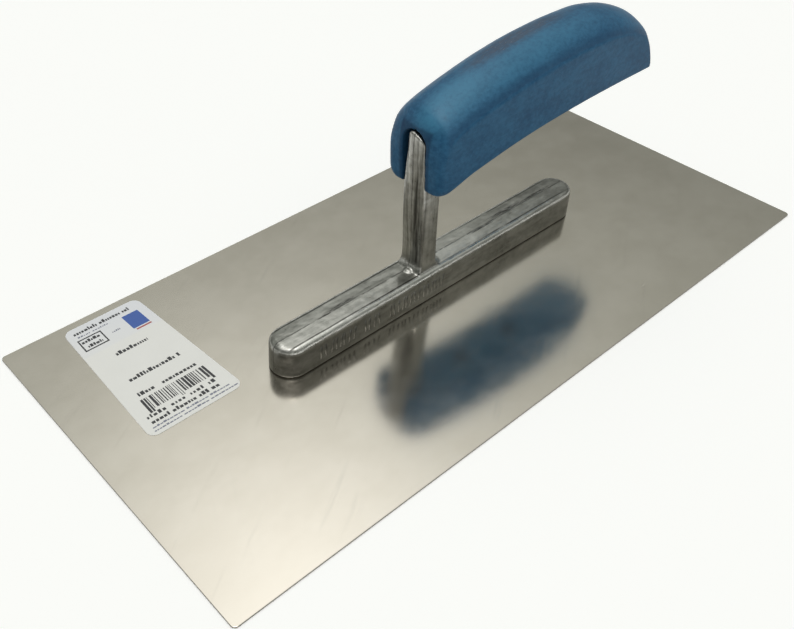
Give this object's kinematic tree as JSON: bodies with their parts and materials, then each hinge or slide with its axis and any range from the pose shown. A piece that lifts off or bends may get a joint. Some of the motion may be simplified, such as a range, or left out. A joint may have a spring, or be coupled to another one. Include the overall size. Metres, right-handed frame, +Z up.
{
  "type": "finishing trowel",
  "caption": "Rectangular steel finishing trowel: thin flat blade under a cast aluminium bar, whose single forward post carries an arched lacquered wooden grip.",
  "frame": {"origin": "centre of the blade's working face (its underside)", "axes": "+X along the blade's length, towards the free back end of the grip; +Y across the blade, towards the side that carries the label; +Z up, away from the working face"},
  "size_m": [0.28, 0.13, 0.0867],
  "materials": {
    "blade_steel": "stainless sheet, rolled semi-gloss with fine scratches",
    "cast_aluminium": "die-cast and tumbled, mottled semi-gloss",
    "lacquered_wood": "blue translucent satin lacquer over wood",
    "label_film": "printed white film, satin",
    "rivet_aluminium": "ground flush with the working face",
    "screw_steel": "blackened steel"
  },
  "bodies": {
    "root": {"blade": "blade_steel", "mount_casting": "cast_aluminium", "handle_grip": "lacquered_wood", "blade_label": "label_film", "blade_rivet_1": "rivet_aluminium", "blade_rivet_2": "rivet_aluminium", "blade_rivet_3": "rivet_aluminium", "blade_rivet_4": "rivet_aluminium", "blade_rivet_5": "rivet_aluminium", "blade_rivet_6": "rivet_aluminium", "blade_rivet_7": "rivet_aluminium", "handle_screw_1": "screw_steel", "handle_screw_2": "screw_steel"}
  },
  "joints": []
}
